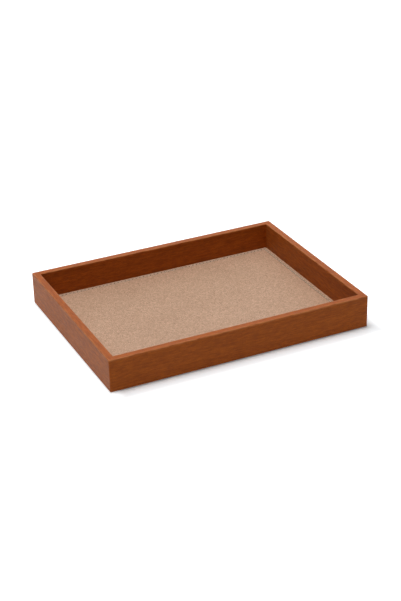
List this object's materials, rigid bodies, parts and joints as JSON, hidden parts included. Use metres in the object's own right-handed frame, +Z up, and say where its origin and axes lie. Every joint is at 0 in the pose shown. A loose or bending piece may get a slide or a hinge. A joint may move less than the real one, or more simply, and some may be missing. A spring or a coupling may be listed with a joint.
{
  "type": "valet tray",
  "caption": "Low rectangular valet tray: mitred wooden rails round a flat pebbled-leather pad with a stitched border, on a felt underside.",
  "frame": {"origin": "the middle of the underside, on the surface that the tray stands on", "axes": "+X along the length to the right, +Y from the front rail to the back rail, +Z up"},
  "size_m": [0.3048, 0.2286, 0.0381],
  "materials": {
    "stained_wood": "red-brown stain under satin lacquer, fine straight grain",
    "birch_ply": "bare birch plywood",
    "brad_steel": "bright drawn wire",
    "pebbled_leather": "taupe leather, fine pebble grain, low sheen",
    "sewing_thread": "bonded thread, tone on tone with the leather",
    "soft_foam": "thin closed foam",
    "grey_board": "dense grey board",
    "backing_cloth": "thin dark lining",
    "wool_felt": "dark pressed felt"
  },
  "bodies": {
    "root": {"front_rail": "stained_wood", "back_rail": "stained_wood", "left_rail": "stained_wood", "right_rail": "stained_wood", "front_left_spline": "birch_ply", "front_right_spline": "birch_ply", "back_left_spline": "birch_ply", "back_right_spline": "birch_ply", "base_panel": "birch_ply", "base_brads": "brad_steel", "liner_backing": "backing_cloth", "liner_board": "grey_board", "liner_foam": "soft_foam", "leather_liner": "pebbled_leather", "liner_stitching": "sewing_thread", "felt_base": "wool_felt"}
  },
  "joints": []
}
